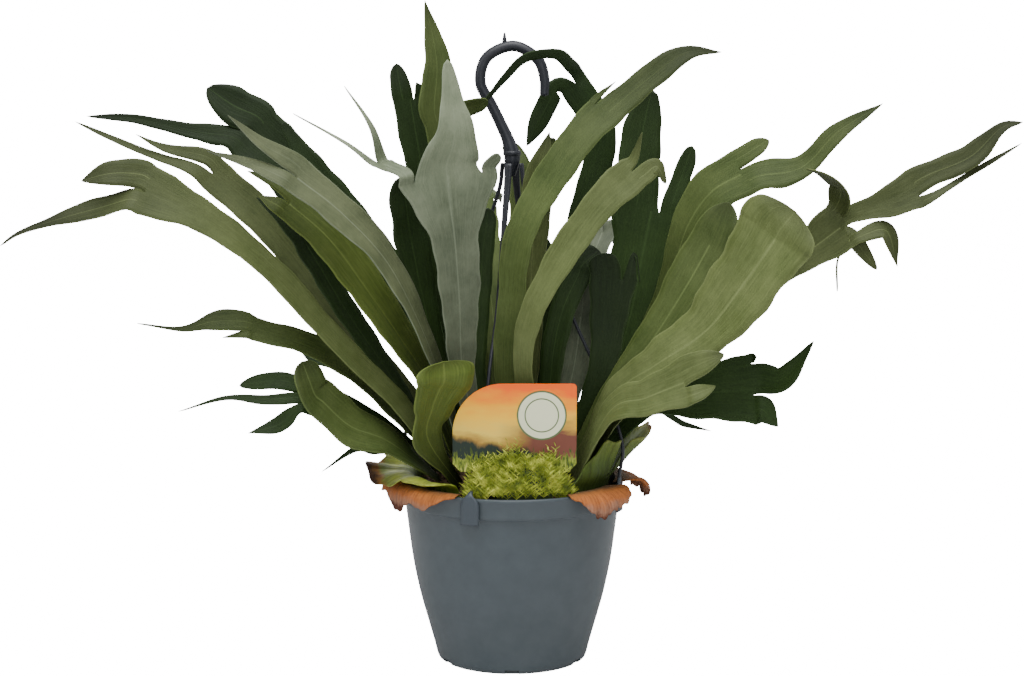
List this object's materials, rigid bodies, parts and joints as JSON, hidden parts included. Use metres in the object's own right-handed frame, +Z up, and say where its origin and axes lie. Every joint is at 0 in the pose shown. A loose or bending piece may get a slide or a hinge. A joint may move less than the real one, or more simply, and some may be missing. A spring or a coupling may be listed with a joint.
{
  "type": "staghorn fern in a hanging pot",
  "caption": "Staghorn fern with forked antler fronds and papery shield fronds, in a dark plastic hanging pot with a hooked hanger and a picture tag.",
  "frame": {"origin": "centre of the underside of the pot's base", "axes": "+Z up; -Y is the front, where the picture tag stands; +X to the right seen from the front, along the plant's spread"},
  "size_m": [0.7793, 0.3796, 0.538],
  "materials": {
    "pot_plastic": "satin slate grey, moulded",
    "bark": "coarse damp bark mix",
    "rhizome_scales": "brown papery scales",
    "frond_felted": "grey-green with pale felt",
    "frond_green": "mid green, faint felt",
    "frond_shaded": "dark green",
    "frond_olive": "olive green, felted",
    "frond_young": "fresh yellow-green",
    "shield_green": "green, ribbed",
    "shield_papery": "orange-brown, dry and papery",
    "hanger_plastic": "near-black, moulded",
    "tag_print": "printed plastic card",
    "moss": "loose green moss"
  },
  "bodies": {
    "root": {"antler_back_1": "frond_green", "antler_back_2": "frond_felted", "antler_back_3": "frond_olive", "antler_back_4": "frond_green", "antler_back_5": "frond_green", "antler_back_6": "frond_shaded", "antler_back_7": "frond_shaded", "antler_back_8": "frond_green", "antler_back_9": "frond_olive", "antler_centre_1": "frond_felted", "antler_centre_10": "frond_shaded", "antler_centre_11": "frond_shaded", "antler_centre_12": "frond_felted", "antler_centre_13": "frond_olive", "antler_centre_14": "frond_shaded", "antler_centre_15": "frond_young", "antler_centre_2": "frond_green", "antler_centre_3": "frond_shaded", "antler_centre_4": "frond_shaded", "antler_centre_5": "frond_shaded", "antler_centre_6": "frond_shaded", "antler_centre_7": "frond_green", "antler_centre_8": "frond_olive", "antler_centre_9": "frond_shaded", "antler_left_1": "frond_shaded", "antler_left_10": "frond_shaded", "antler_left_11": "frond_shaded", "antler_left_2": "frond_green", "antler_left_3": "frond_shaded", "antler_left_4": "frond_green", "antler_left_5": "frond_olive", "antler_left_6": "frond_olive", "antler_left_7": "frond_shaded", "antler_left_8": "frond_felted", "antler_left_9": "frond_young", "antler_right_1": "frond_olive", "antler_right_2": "frond_green", "antler_right_3": "frond_green", "antler_right_4": "frond_olive", "antler_right_5": "frond_shaded", "antler_right_6": "frond_shaded", "antler_right_7": "frond_olive", "bark_mix": "bark", "hanger_hook": "hanger_plastic", "hanger_strap_1": "hanger_plastic", "hanger_strap_2": "hanger_plastic", "hanger_strap_3": "hanger_plastic", "hanger_strap_4": "hanger_plastic", "moss_cushion": "moss", "picture_tag": "tag_print", "pot": "pot_plastic", "rhizome": "rhizome_scales", "shield_green_left": "shield_green", "shield_green_right": "shield_green", "shield_papery_back": "shield_papery", "shield_papery_left": "shield_papery", "shield_papery_right": "shield_papery", "shield_papery_side": "shield_papery"}
  },
  "joints": []
}
